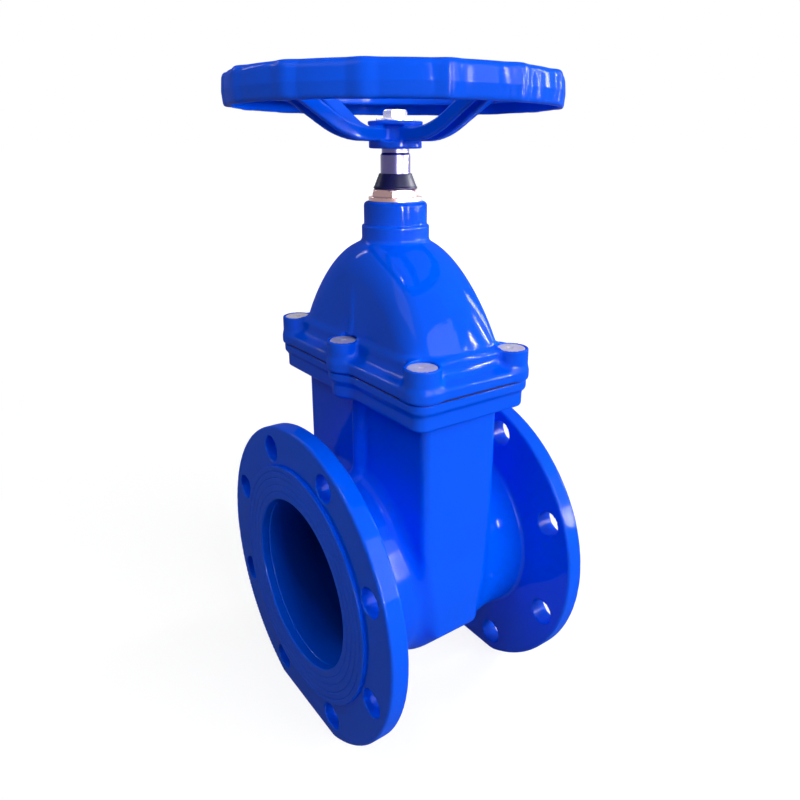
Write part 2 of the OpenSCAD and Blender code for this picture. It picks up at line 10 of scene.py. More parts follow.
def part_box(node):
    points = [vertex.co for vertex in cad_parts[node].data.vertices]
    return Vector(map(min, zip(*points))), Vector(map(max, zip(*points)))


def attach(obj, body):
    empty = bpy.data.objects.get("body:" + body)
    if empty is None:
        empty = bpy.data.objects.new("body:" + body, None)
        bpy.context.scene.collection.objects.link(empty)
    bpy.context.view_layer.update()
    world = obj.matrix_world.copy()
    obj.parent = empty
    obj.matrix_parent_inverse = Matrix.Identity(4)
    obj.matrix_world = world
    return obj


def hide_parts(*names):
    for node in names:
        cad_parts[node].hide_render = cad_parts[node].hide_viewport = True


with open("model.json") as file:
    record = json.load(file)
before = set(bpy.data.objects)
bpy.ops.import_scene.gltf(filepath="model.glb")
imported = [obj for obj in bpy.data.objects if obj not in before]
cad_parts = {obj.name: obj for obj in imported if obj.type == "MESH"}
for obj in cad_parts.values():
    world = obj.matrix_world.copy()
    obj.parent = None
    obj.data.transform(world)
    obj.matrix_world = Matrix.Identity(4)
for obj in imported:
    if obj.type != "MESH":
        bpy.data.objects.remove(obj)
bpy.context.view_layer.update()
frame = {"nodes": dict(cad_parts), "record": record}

# Lengths are in millimetres until a mesh is made in metres: x along the pipe and y across it
# from the stem axis, z from the level that each section names. In the names of constants,
# _R is a radius, _HALF half a width, _H a height, _AT a span from one place to another,
# _EDGE the radius of a rounded edge and _FILLET that of an inner corner.
MM = 0.001


def node_mm(name):
    """Lowest and highest corner of a CAD node in millimetres."""
    low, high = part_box(name)
    return np.array(low) / MM, np.array(high) / MM


def node_span(name):
    """Lowest and highest z of a CAD node in millimetres."""
    low, high = node_mm(name)
    return low[2], high[2]


def mount_mm(name):
    """Position of a mount in the record, in millimetres, and its dimensions."""
    mount = next(m for m in frame["record"]["mounts"] if m["name"] == name)
    return np.array(mount["pos_m"]) / MM, mount["dims"]


INLET, INLET_DIMS = mount_mm("inlet_flange")
AXIS_Z = INLET[2]
JOINT_Z = node_span("valve_body")[1]
BONNET_Z, BONNET_TOP = node_span("bonnet")
HUB_Z, RIM_TOP = node_span("handwheel")


# ---------------------------------------------------------------- signed distances


def reach(a, b):
    """Length of the vector (a, b), such as the distance from an axis."""
    return np.sqrt(a * a + b * b)


def blend_union(a, b, r):
    """Union of two distances with a fillet of radius r where they meet square."""
    fillet = reach(np.maximum(r - a, 0), np.maximum(r - b, 0))
    return np.maximum(np.minimum(a, b), r) - fillet


def blend_cut(a, b, r):
    """Intersection of two distances with a rounded edge of radius r."""
    edge = reach(np.maximum(r + a, 0), np.maximum(r + b, 0))
    return np.minimum(np.maximum(a, b), -r) + edge


def slab(value, low, high):
    """Distance from the space between two levels."""
    return np.maximum(low - value, value - high)


def round_box(x, y, half_x, half_y, r):
    """Plan distance from a rectangle with round corners."""
    dx = abs(x) - half_x + r
    dy = abs(y) - half_y + r
    outside = reach(np.maximum(dx, 0), np.maximum(dy, 0))
    return outside + np.minimum(np.maximum(dx, dy), 0) - r


def cone(rho, z, r, height, lean, scale):
    """Distance from a cone of radius r at a height, which narrows by lean for each mm above."""
    return (rho - r + lean * (z - height)) / scale


def turned(x, y, count, first):
    """Coordinates along and across the nearest of evenly spaced radial lines."""
    pitch = 2 * math.pi / count
    angle = np.mod(np.arctan2(y, x) - first + pitch / 2, pitch) - pitch / 2
    rho = reach(x, y)
    return rho * np.cos(angle), rho * np.sin(angle)


def hexagon(x, y, flats, turn):
    """Plan distance from a hexagon of a given size across its flats."""
    return turned(x, y, 6, math.radians(turn))[0] - flats / 2


def ease(value, low, high):
    """0 below low, 1 above high and a smooth step between."""
    t = np.clip((value - low) / (high - low), 0, 1)
    return t * t * (3 - 2 * t)


# ---------------------------------------------------------------- meshes from distances

SLOPE_STEP = 0.05
SETTLE_ROUNDS = 4
SETTLE_MOST = 1.5
WEAK_SLOPE = 0.05
FLAT_DEGREES = 0.4
TINY = 1e-9


def sample(field, axes):
    """The field on a grid whose three axes may be unevenly spaced."""
    xs, ys, zs = axes
    values = field(xs[:, None, None], ys[None, :, None], zs[None, None, :])
    return np.broadcast_to(values, (len(xs), len(ys), len(zs)))


def edge_ends(axis, trim):
    """Slices for the near and far ends of the grid's edges along one axis."""
    near, far = [trim] * 3, [trim] * 3
    near[axis] = slice(None, -1)
    far[axis] = slice(1, None)
    return tuple(near), tuple(far)


def crossings(values, axes):
    """For each grid cell, the sum and the number of its edges' crossings with the surface."""
    inside = values < 0
    shape = tuple(n - 1 for n in values.shape)
    total = np.zeros(shape + (3,))
    count = np.zeros(shape)
    grids = np.meshgrid(*axes, indexing="ij")
    for axis in range(3):
        near, far = edge_ends(axis, slice(None))
        where = np.nonzero(inside[near] != inside[far])
        a = values[near][where]
        b = values[far][where]
        t = a / (a - b)
        point = np.stack([g[near][where] * (1 - t) + g[far][where] * t for g in grids], axis=1)
        one, two = [k for k in range(3) if k != axis]
        for da in (0, 1):
            for db in (0, 1):
                cell = list(where)
                cell[one] = where[one] - da
                cell[two] = where[two] - db
                fits = np.ones(len(t), bool)
                for k in range(3):
                    fits &= (cell[k] >= 0) & (cell[k] < shape[k])
                cell = tuple(c[fits] for c in cell)
                np.add.at(total, cell, point[fits])
                np.add.at(count, cell, 1)
    return total, count


def net_faces(values, index):
    """Quads across each grid edge that the surface crosses, turned outward."""
    inside = values < 0
    faces = []
    for axis in range(3):
        a, b = [(1, 2), (2, 0), (0, 1)][axis]
        near, far = edge_ends(axis, slice(1, -1))
        where = np.nonzero(inside[near] != inside[far])
        outward = inside[near][where]
        base = [where[k] + (0 if k == axis else 1) for k in range(3)]
        quad = []
        for da, db in ((1, 1), (0, 1), (0, 0), (1, 0)):
            cell = list(base)
            cell[a] = base[a] - da
            cell[b] = base[b] - db
            quad.append(index[tuple(cell)])
        quad = np.stack(quad, axis=1)
        quad[~outward] = quad[~outward][:, ::-1]
        faces.append(quad)
    return np.concatenate(faces)


def slope(field, p):
    """Gradient of the field at points p."""
    g = np.empty_like(p)
    for k in range(3):
        shift = np.zeros(3)
        shift[k] = SLOPE_STEP
        g[:, k] = (field(*(p + shift).T) - field(*(p - shift).T)) / (2 * SLOPE_STEP)
    return g


def settle(field, p):
    """Moves the points onto the surface, a short way at a time."""
    for _ in range(SETTLE_ROUNDS):
        g = slope(field, p)
        steep = np.maximum((g * g).sum(axis=1), WEAK_SLOPE)
        move = g * (field(*p.T) / steep)[:, None]
        length = np.linalg.norm(move, axis=1)
        p = p - move * np.minimum(1, SETTLE_MOST / np.maximum(length, TINY))[:, None]
    return p


def new_object(name, mesh):
    """An object of the mesh, linked to the scene."""
    piece = bpy.data.objects.new(name, mesh)
    bpy.context.collection.objects.link(piece)
    return piece


def casting(name, field, axes, z0):
    """A mesh of the field's surface with exact normals; the field's z counts from z0."""
    values = np.ascontiguousarray(sample(field, axes))
    total, count = crossings(values, axes)
    used = count > 0
    index = np.full(used.shape, -1)
    index[used] = np.arange(used.sum())
    points = settle(field, total[used] / count[used][:, None])
    mesh = bpy.data.meshes.new(name)
    mesh.from_pydata(points.tolist(), [], net_faces(values, index).tolist())
    thin_flats(mesh)
    finish_casting(mesh, field, z0)
    return new_object(name, mesh)


def thin_flats(mesh):
    """Joins the faces of flat areas, to keep the mesh light."""
    bm = bmesh.new()
    bm.from_mesh(mesh)
    bmesh.ops.dissolve_limit(
        bm,
        angle_limit=math.radians(FLAT_DEGREES),
        use_dissolve_boundaries=False,
        verts=bm.verts,
        edges=bm.edges,
    )
    bmesh.ops.triangulate(bm, faces=[f for f in bm.faces if len(f.verts) > 4])
    bm.to_mesh(mesh)
    bm.free()


def finish_casting(mesh, field, z0):
    """Gives the mesh the field's own normals, then its place in metres."""
    p = np.empty(len(mesh.vertices) * 3)
    mesh.vertices.foreach_get("co", p)
    p = p.reshape(-1, 3)
    g = slope(field, p)
    g /= np.maximum(np.linalg.norm(g, axis=1), TINY)[:, None]
    placed = (p + (0, 0, z0)) * MM
    mesh.vertices.foreach_set("co", placed.ravel())
    mesh.polygons.foreach_set("use_smooth", [True] * len(mesh.polygons))
    mesh.update()
    mesh.normals_split_custom_set_from_vertices(g.tolist())


def spaced(*stops):
    """Grid positions: start, then pairs of step and end."""
    out = [float(stops[0])]
    for step, end in zip(stops[1::2], stops[2::2]):
        count = max(1, round((end - out[-1]) / step))
        out.extend(np.linspace(out[-1], end, count + 1)[1:])
    return np.array(out)


# ---------------------------------------------------------------- turned pieces

ARC_STEPS = 5


def rounded_path(corners, closed):
    """Points and outward normals of a turned section; each corner is (radius, height, fillet)."""
    spots = [np.array(corner[:2], float) for corner in corners]
    last = len(spots) - 1
    points, normals = [], []
    for k, here in enumerate(spots):
        sides = []
        if closed or k > 0:
            sides.append(here - spots[k - 1])
        if closed or k < last:
            sides.append(spots[0 if k == last else k + 1] - here)
        sides = [v / np.linalg.norm(v) for v in sides]
        turns = [np.array((v[1], -v[0])) for v in sides]
        if len(sides) == 1:
            points.append(here)
            normals.append(turns[0])
        else:
            corner_arc(points, normals, here, sides, turns[0], corners[k][2])
    return np.array(points), np.array(normals)


def corner_arc(points, normals, here, sides, out, fillet):
    """Adds one rounded corner, which turns from the first side to the second."""
    cross = sides[0][0] * sides[1][1] - sides[0][1] * sides[1][0]
    angle = math.atan2(cross, float(sides[0] @ sides[1]))
    start = here - sides[0] * fillet * math.tan(abs(angle) / 2)
    hand = 1 if angle > 0 else -1
    centre = start - out * fillet * hand
    for i in range(ARC_STEPS + 1):
        turn = angle * i / ARC_STEPS
        c, s = math.cos(turn), math.sin(turn)
        n = np.array((out[0] * c - out[1] * s, out[0] * s + out[1] * c))
        points.append(centre + n * fillet * hand)
        normals.append(n)


def revolve(name, corners, z0, closed=False, segments=96, matrix=None):
    """A turned piece about the z axis, its heights from z0, with exact normals.

    The section runs upward on the outside, so that outward is to its right."""
    path, out = rounded_path(corners, closed)
    angle = np.linspace(0, 2 * math.pi, segments, endpoint=False)
    c, s = np.cos(angle)[:, None], np.sin(angle)[:, None]
    verts = np.stack([path[:, 0] * c, path[:, 0] * s, path[:, 1] + z0 + 0 * c], axis=2)
    norms = np.stack([out[:, 0] * c, out[:, 0] * s, out[:, 1] + 0 * c], axis=2)
    rows = len(path)
    faces = []
    for i in range(segments):
        j = (i + 1) % segments
        for k in range(rows if closed else rows - 1):
            m = (k + 1) % rows
            faces.append((i * rows + k, j * rows + k, j * rows + m, i * rows + m))
    if not closed:
        faces.append([i * rows for i in reversed(range(segments))])
        faces.append([i * rows + rows - 1 for i in range(segments)])
    mesh = bpy.data.meshes.new(name)
    mesh.from_pydata((verts.reshape(-1, 3) * MM).tolist(), [], faces)
    mesh.polygons.foreach_set("use_smooth", [True] * len(mesh.polygons))
    norms = norms.reshape(-1, 3)
    if matrix is not None:
        mesh.transform(matrix)
        norms = norms @ np.array(matrix.to_3x3()).T
    mesh.update()
    mesh.normals_split_custom_set_from_vertices(norms.tolist())
    return new_object(name, mesh)


# ---------------------------------------------------------------- the valve body
# z counts from the pipe's axis.

WALL = 8.0
BORE_R = 75.0
BORE_ROOM = 1.6
BORE_ROOM_AT = (96.0, 98.0)
NECK_R = 84.0
NECK_EDGE = 0.5
NECK_SWELL = 3.0
NECK_SWELL_AT = (-62.0, -38.0)
NECK_FILLET = 12.0
FLANGE_R = 139.9
FLANGE_BACK = 86.0
FLANGE_FACE = 102.0
FLANGE_EDGE = 2.2
FLANGE_FILLET = 4.0
FOOT_EDGE = 2.0
HOLES = INLET_DIMS["count"]
HOLE_CIRCLE_R = INLET_DIMS["pcd_mm"] / 2
HOLE_R = INLET_DIMS["hole_r_mm"]
HOLE_FROM = 60.0
HOLE_EDGE = 0.8
CHEST_Y = 92.0
CHEST_HALF = 37.75
CHEST_TAPER = 12.75
CHEST_TAPER_TOP = 60.0
CHEST_TAPER_LONG = 100.0
CHEST_EDGE = 7.0
CHEST_DROP = 3.0
BELLY_R = 90.0
BELLY_SLOPE = math.radians(47)
BELLY_EDGE = 2.0
POCKET_EDGE = 4.0
CHEST_RIB_R = 7.0
CHEST_RIB_AT = (20.0, 180.0)
CHEST_RIB_FILLET = 5.0
CORNER_BOLT = (44.0, 96.0)
MIDDLE_BOLT = 52.0
LOBE_FILLET = 9.0
LIP_TOP = JOINT_Z - AXIS_Z
LIP_R = 13.4
LIP_H = 11.0
LIP_BEVEL = 6.5
LIP_EDGE = 1.0
LIP_FILLET = 5.0
SKIRT_R = 10.4
SKIRT_TOP = LIP_TOP - 5
SKIRT_FOOT = LIP_TOP - 22
SKIRT_EDGE = 2.5
SKIRT_FILLET = 1.5


def chest_half(z):
    """Half width of the chest: straight above, narrowing to the foot."""
    return CHEST_HALF - CHEST_TAPER * ease(CHEST_TAPER_TOP - z, 0, CHEST_TAPER_LONG)


def joint_outline(x, y, r):
    """Plan of the joint: round corners at the corner bolts and a lobe at each middle bolt."""
    plate = round_box(x, y, CORNER_BOLT[0] + r, CORNER_BOLT[1] + r, r)
    lobe = reach(abs(x) - MIDDLE_BOLT, y) - r
    return blend_union(plate, lobe, LOBE_FILLET)


def pipe_ends(x, y, z):
    """Both flanges and the necks between them."""
    rho = reach(y, z)
    swell = NECK_SWELL * ease(-abs(x), *NECK_SWELL_AT)
    neck = blend_cut(rho - NECK_R - swell, abs(x) - FLANGE_FACE, NECK_EDGE)
    disc = blend_cut(rho - FLANGE_R, slab(abs(x), FLANGE_BACK, FLANGE_FACE), FLANGE_EDGE)
    disc = blend_cut(disc, -AXIS_Z - z, FOOT_EDGE)
    return blend_union(neck, disc, FLANGE_FILLET)


def bolt_holes(x, y, z):
    """The holes of both flanges, none of them on the upright centre line."""
    pitch = 2 * math.pi / HOLES
    angle = np.mod(np.arctan2(y, z), pitch) - pitch / 2
    rho = reach(y, z)
    hole = reach(rho * np.cos(angle) - HOLE_CIRCLE_R, rho * np.sin(angle)) - HOLE_R
    return np.maximum(hole, HOLE_FROM - abs(x))


def chest_side(y, z, inset):
    """Side view of the chest across the pipe: upright ends, slanted cuts and a round belly."""
    across, below = math.cos(BELLY_SLOPE), math.sin(BELLY_SLOPE)
    cut = across * abs(y) - below * z - BELLY_R
    belly = np.where(-z * across > abs(y) * below, reach(y, z) - BELLY_R, cut)
    return blend_cut(abs(y) - CHEST_Y, belly, BELLY_EDGE) + inset


def chest(x, y, z):
    """The tall flat-sided chamber that holds the wedge."""
    return blend_cut(abs(x) - chest_half(z), chest_side(y, z, 0), CHEST_EDGE)


def chest_rib(x, y, z):
    """Half-round rib up the middle of each flat side."""
    round_rib = reach(abs(x) - CHEST_HALF, y) - CHEST_RIB_R
    return np.maximum(round_rib, slab(z, *CHEST_RIB_AT))


def body_top(x, y, z):
    """The lip of the joint, bevelled below, with the step under it."""
    outline = joint_outline(x, y, LIP_R)
    lip = blend_cut(outline, slab(z, LIP_TOP - LIP_H, LIP_TOP), LIP_EDGE)
    bevel = (outline + LIP_TOP - LIP_BEVEL - z) * math.sqrt(0.5)
    lip = blend_cut(lip, bevel, LIP_EDGE)
    skirt = blend_cut(joint_outline(x, y, SKIRT_R), slab(z, SKIRT_FOOT, SKIRT_TOP), SKIRT_EDGE)
    return blend_union(lip, skirt, SKIRT_FILLET)


def pocket(x, y, z):
    """The room inside the chest."""
    return blend_cut(abs(x) - chest_half(z) + WALL, chest_side(y, z, WALL), POCKET_EDGE)


def body_field(x, y, z):
    """The body's casting, with its bore a little wider round each sealing face's ring."""
    shell = np.maximum(chest(x, y, z), z - LIP_TOP + CHEST_DROP)
    shell = blend_union(shell, chest_rib(x, y, z), CHEST_RIB_FILLET)
    shell = blend_union(shell, pipe_ends(x, y, z), NECK_FILLET)
    shell = blend_union(shell, body_top(x, y, z), LIP_FILLET)
    shell = blend_cut(shell, -bolt_holes(x, y, z), HOLE_EDGE)
    bore = reach(y, z) - BORE_R - BORE_ROOM * ease(abs(x), *BORE_ROOM_AT)
    shell = np.maximum(shell, -bore)
    return np.maximum(shell, -pocket(x, y, z))


def build_body():
    """The body; its grid is finer at the flanges, the foot and the lip."""
    xs = spaced(-104.5, 1.25, -82, 2.4, -44, 2.0, 44, 2.4, 82, 1.25, 104.5)
    ys = spaced(-141.5, 2.1, 141.5)
    zs = spaced(-133.5, 1.25, -126, 2.2, 162, 1.25, 189)
    return casting("body_casting", body_field, (xs, ys, zs), AXIS_Z)


# ---------------------------------------------------------------- the sealing faces
# Turned about the pipe's axis; a height is a distance from the stem axis.

FACE_R = 105.5
FACE_END = 105.0
FACE_EDGE = 1.1
FACE_SEAT = FLANGE_FACE - 0.4
FACE_ROOT_R = BORE_R + 4
MOUTH_R = BORE_R - 0.05
MOUTH_BACK = 96.6
MOUTH_EDGE = 2.0
GROOVES_R = (82.0, 88.3, 94.6, 100.4)
GROOVE_HALF = 0.9
GROOVE_DEEP = 0.6
GROOVE_EDGE = 0.3


def sealing_face(name, side):
    """Raised face of one flange with its fine concentric grooves and the mouth of the bore."""
    section = [
        (FACE_ROOT_R, MOUTH_BACK, 0.2),
        (MOUTH_R, MOUTH_BACK, 0.2),
        (MOUTH_R, FACE_END, MOUTH_EDGE),
    ]
    for r in GROOVES_R:
        section += [
            (r - GROOVE_HALF, FACE_END, GROOVE_EDGE),
            (r, FACE_END - GROOVE_DEEP, GROOVE_EDGE),
            (r + GROOVE_HALF, FACE_END, GROOVE_EDGE),
        ]
    section += [
        (FACE_R, FACE_END, FACE_EDGE),
        (FACE_R, FLANGE_FACE, 0.2),
        (FACE_R, FACE_SEAT, 0.1),
        (FACE_ROOT_R, FACE_SEAT, 0.1),
    ]
    turn = Matrix.Rotation(math.radians(90 * side), 4, "Y")
    place_at = Matrix.Translation((0, 0, AXIS_Z * MM)) @ turn
    return revolve(name, section[::-1], 0, closed=True, segments=192, matrix=place_at)


# ---------------------------------------------------------------- the bonnet
# z counts from the bonnet's foot.

LEDGE_LOW = 8.5
LEDGE_SLOPE = 0.45
LEDGE_EDGE = 2.0
LEDGE_FOOT_EDGE = 0.7
CURB_HALF = (47.5, 98.0)
CURB_CORNER_R = 9.0
CURB_TOP = 24.5
CURB_CROWN = 0.5
CURB_EDGE = 3.5
CURB_FILLET = 5.0
BOSS_R = 14.0
BOSS_EDGE = 1.2
BOSS_FILLET = 4.0
SEAL_R = 11.4
SEAL_ROOM = 0.2
SEAL_AT = (CURB_TOP - 5.5, CURB_TOP + 2.5)
SEAL_HOLE_EDGE = 0.6
DOME_FOOT = 12.0
DOME_TOP = 101.5
DOME_BASE_R = 96.5
DOME_TOP_R = 27.7
DOME_FULLNESS = 1.13
DOME_LOWEST = 0.01
DOME_FLAT = 45.5
DOME_LEAN = 5.0
DOME_EDGE = 15.0
DOME_FILLET = 4.0
RIB_OUT = 1.5
RIB_HALF = 3.2
RIB_TOP = 70.0
RIB_FADE = 3.0
RIB_FADE_LONG = 16.0
RIB_EDGE = 1.4
RIB_FILLET = 2.0
TOWER_FOOT = 80.0
TOWER_STEP = 114.5
TOWER_TOP = BONNET_TOP - BONNET_Z
TOWER_LOW_R = 27.7
TOWER_HIGH_R = 25.8
TOWER_STEP_EDGE = 1.5
TOWER_STEP_FILLET = 0.8
TOWER_EDGE = 3.5
TOWER_FILLET = 2.5
ROOM_CORNER_R = 4.0
STEM_HOLE_R = 12.6
STEM_HOLE_FOOT = 20.0
GLAND_HOLE_R = 18.4
GLAND_HOLE_FOOT = TOWER_TOP - 20.4


def at_bolts(x, y):
    """Plan distance from the nearest bonnet bolt."""
    corner = reach(abs(x) - CORNER_BOLT[0], abs(y) - CORNER_BOLT[1])
    return np.minimum(corner, reach(abs(x) - MIDDLE_BOLT, y))


def bonnet_base(x, y, z):
    """The sloped ledge, the curb inside it and the six bolt bosses."""
    outline = joint_outline(x, y, BOSS_R)
    top = (z - LEDGE_LOW + LEDGE_SLOPE * outline) / math.hypot(1, LEDGE_SLOPE)
    ledge = blend_cut(blend_cut(outline, top, LEDGE_EDGE), -z, LEDGE_FOOT_EDGE)
    plan = round_box(x, y, *CURB_HALF, CURB_CORNER_R)
    curb = blend_cut(plan, slab(z, 1, CURB_TOP + CURB_CROWN), CURB_EDGE)
    base = blend_union(ledge, curb, CURB_FILLET)
    boss = blend_cut(at_bolts(x, y) - BOSS_R, slab(z, 1, CURB_TOP), BOSS_EDGE)
    return blend_union(base, boss, BOSS_FILLET)


def dome(x, y, z, shrink):
    """Round dome whose squared radius falls a little faster towards the top."""
    rise = DOME_TOP - CURB_TOP
    span = DOME_BASE_R**2 - DOME_TOP_R**2
    height = np.maximum((z - CURB_TOP + shrink) / rise, DOME_LOWEST)
    square = DOME_BASE_R**2 - span * height**DOME_FULLNESS
    fall = span * DOME_FULLNESS / rise
    rho2 = x * x + y * y
    return (rho2 - square) / np.sqrt(4 * rho2 + fall**2)


def dome_part(x, y, z):
    """The dome between its two leaning flat sides, with the low rib on each of them."""
    side = abs(x) - DOME_FLAT + DOME_LEAN * (z - CURB_TOP) / (DOME_TOP - CURB_TOP)
    shell = np.maximum(blend_cut(dome(x, y, z, 0), side, DOME_EDGE), DOME_FOOT - z)
    fade = RIB_FADE * ease(z, RIB_TOP - RIB_FADE_LONG, RIB_TOP)
    rib = blend_cut(side - RIB_OUT + fade, abs(y) - RIB_HALF, RIB_EDGE)
    rib = np.maximum(rib, slab(z, DOME_FOOT, RIB_TOP))
    return blend_union(shell, rib, RIB_FILLET)


def bonnet_tower(x, y, z):
    """The stepped round boss that carries the gland."""
    rho = reach(x, y)
    low = blend_cut(rho - TOWER_LOW_R, slab(z, TOWER_FOOT, TOWER_STEP), TOWER_STEP_EDGE)
    high = blend_cut(rho - TOWER_HIGH_R, slab(z, TOWER_FOOT, TOWER_TOP), TOWER_EDGE)
    return blend_union(low, high, TOWER_STEP_FILLET)


def bonnet_hollow(x, y, z):
    """The room that the raised wedge goes into, and the bore of the stem and gland."""
    rho = reach(x, y)
    plan = round_box(x, y, CHEST_HALF - WALL, CHEST_Y - WALL, ROOM_CORNER_R)
    room = np.maximum(plan, np.maximum(dome(x, y, z, WALL) + WALL, z - DOME_TOP + WALL))
    stem_hole = np.maximum(rho - STEM_HOLE_R, STEM_HOLE_FOOT - z)
    gland_hole = np.maximum(rho - GLAND_HOLE_R, GLAND_HOLE_FOOT - z)
    return np.minimum(room, np.minimum(stem_hole, gland_hole))


def bonnet_field(x, y, z):
    """The bonnet's casting, with a round hole for the wax over each bolt."""
    shell = blend_union(bonnet_base(x, y, z), dome_part(x, y, z), DOME_FILLET)
    shell = blend_union(shell, bonnet_tower(x, y, z), TOWER_FILLET)
    seal_hole = np.maximum(at_bolts(x, y) - SEAL_R - SEAL_ROOM, slab(z, *SEAL_AT))
    shell = blend_cut(shell, -seal_hole, SEAL_HOLE_EDGE)
    return np.maximum(shell, -bonnet_hollow(x, y, z))


def build_bonnet():
    """The bonnet; its grid is finer at the ledge, the curb and the tower."""
    xs = spaced(-68, 1.6, 68)
    ys = spaced(-112, 1.6, 112)
    zs = spaced(-1.5, 1.1, 27, 1.8, 92, 1.3, 135.5)
    return casting("bonnet_casting", bonnet_field, (xs, ys, zs), BONNET_Z)


# ---------------------------------------------------------------- the handwheel
# z counts from the hub's foot.

RIM_OUT = 129.4
RIM_IN = 110.5
RIM_H = RIM_TOP - HUB_Z
RIM_FOOT = RIM_H - 25.0
RIM_PART = RIM_H - 14.0
RIM_INNER_FOOT = RIM_H - 16.0
RIM_LIP = 9.5
RIM_WALL = 4.5
RIM_DRAFT = 0.12
RIM_INNER_DRAFT = 0.03
RIM_EDGE = 5.5
RIM_FOOT_EDGE = 3.5
RIM_INNER_EDGE = 4.0
RIM_LIP_EDGE = 1.6
RIM_HOLLOW_EDGE = 4.0
RIM_MOUTH_EDGE = 1.0
GRIPS = 15
GRIP_TURN = math.radians(10)
GRIP_AT_R = 121.9
GRIP_R = 9.0
GRIP_FILLET = 4.0
SPOKES = 4
SPOKE_TURN = math.radians(4.5)
SPOKE_HALF = 8.5
SPOKE_DEEP = 10.5
SPOKE_WALL = 4.0
SPOKE_FOOT = 5.5
SPOKE_END = RIM_INNER_FOOT + 4.5
SPOKE_LEVEL_R = 30.0
SPOKE_BEND_R = 68.0
SPOKE_AT = (9.0, RIM_IN + 3)
SPOKE_HOLLOW_FROM = 24.0
SPOKE_EDGE = 1.8
SPOKE_TOP_EDGE = 2.0
SPOKE_HOLLOW_EDGE = 2.0
SPOKE_MOUTH_EDGE = 0.8
SPOKE_HUB_FILLET = 2.5
SPOKE_RIM_FILLET = 4.0
HUB_H = 20.4
HUB_CORE_R = 16.5
HUB_FOOT_R = 21.0
HUB_FOOT_H = 5.6
HUB_FOOT_EDGE = 1.2
HUB_TOP_R = 21.7
HUB_TOP_FOOT = 17.2
HUB_TOP_EDGE = 1.0
HUB_FILLET = 2.0
SQUARE_HALF = 7.8
SQUARE_CORNER_R = 1.0
SQUARE_EDGE = 0.5


def rim(x, y, z):
    """Hollow rim, open below, with its parting line and grips."""
    rho = reach(x, y)
    u, w = turned(x, y, GRIPS, GRIP_TURN)
    grip = reach(u - GRIP_AT_R, w) - GRIP_R
    outer = blend_union(rho - RIM_OUT, grip, GRIP_FILLET) + RIM_DRAFT * abs(z - RIM_PART)
    outer = blend_cut(outer, RIM_FOOT - z, RIM_FOOT_EDGE)
    shape = blend_cut(outer, z - RIM_H, RIM_EDGE)
    inner = RIM_IN + RIM_INNER_DRAFT * (z - RIM_INNER_FOOT) - rho
    shape = blend_cut(shape, inner, RIM_INNER_EDGE)
    foot = np.where(rho < RIM_IN + RIM_LIP, RIM_INNER_FOOT, RIM_FOOT)
    shape = blend_cut(shape, foot - z, RIM_LIP_EDGE)
    across = slab(rho, RIM_IN + RIM_WALL, RIM_OUT - RIM_WALL)
    hollow = blend_cut(across, z - RIM_H + RIM_WALL, RIM_HOLLOW_EDGE)
    return blend_cut(shape, -hollow, RIM_MOUTH_EDGE)


def spoke(x, y, z):
    """Four channel spokes, open below, that curve up from the hub to the rim."""
    u, w = turned(x, y, SPOKES, SPOKE_TURN)
    bend = SPOKE_BEND_R - SPOKE_LEVEL_R
    incline = (SPOKE_END - SPOKE_FOOT) / (RIM_IN - SPOKE_LEVEL_R - bend / 2)
    run = np.clip(u - SPOKE_LEVEL_R, 0, bend)
    lean = incline * run / bend
    rise = SPOKE_FOOT + lean * run / 2 + incline * np.maximum(u - SPOKE_BEND_R, 0)
    q = (z - rise) / np.sqrt(1 + lean**2)
    bar = blend_cut(abs(w) - SPOKE_HALF, slab(q, 0, SPOKE_DEEP), SPOKE_EDGE)
    bar = blend_cut(bar, z - RIM_H + RIM_EDGE, SPOKE_TOP_EDGE)
    across = abs(w) - SPOKE_HALF + SPOKE_WALL
    hollow = blend_cut(across, q - SPOKE_DEEP + SPOKE_WALL, SPOKE_HOLLOW_EDGE)
    hollow = np.maximum(hollow, SPOKE_HOLLOW_FROM - u)
    bar = blend_cut(bar, -hollow, SPOKE_MOUTH_EDGE)
    return np.maximum(bar, slab(u, *SPOKE_AT))


def hub(x, y, z):
    """Foot plate, core and top plate of the hub."""
    rho = reach(x, y)
    foot = blend_cut(rho - HUB_FOOT_R, slab(z, 0, HUB_FOOT_H), HUB_FOOT_EDGE)
    core = np.maximum(rho - HUB_CORE_R, slab(z, 1, HUB_H - 1))
    top = blend_cut(rho - HUB_TOP_R, slab(z, HUB_TOP_FOOT, HUB_H), HUB_TOP_EDGE)
    return blend_union(blend_union(core, foot, HUB_FILLET), top, HUB_FILLET)


def wheel_field(x, y, z):
    """The handwheel's casting, with a square hole for the stem."""
    wheel = blend_union(hub(x, y, z), spoke(x, y, z), SPOKE_HUB_FILLET)
    wheel = blend_union(wheel, rim(x, y, z), SPOKE_RIM_FILLET)
    wheel = blend_cut(wheel, z - RIM_H, SPOKE_TOP_EDGE)
    square = round_box(x, y, SQUARE_HALF, SQUARE_HALF, SQUARE_CORNER_R)
    return blend_cut(wheel, -square, SQUARE_EDGE)


def build_wheel():
    side = spaced(-132.5, 1.7, 132.5)
    zs = spaced(-1.5, 1.2, 54.2)
    return casting("handwheel_casting", wheel_field, (side, side, zs), HUB_Z)


# ---------------------------------------------------------------- gland, stem and fastenings
# z counts from the seat of each piece, and for the stem from the floor. The numbers of a
# cone are its radius, height, lean and scale, as in cone().

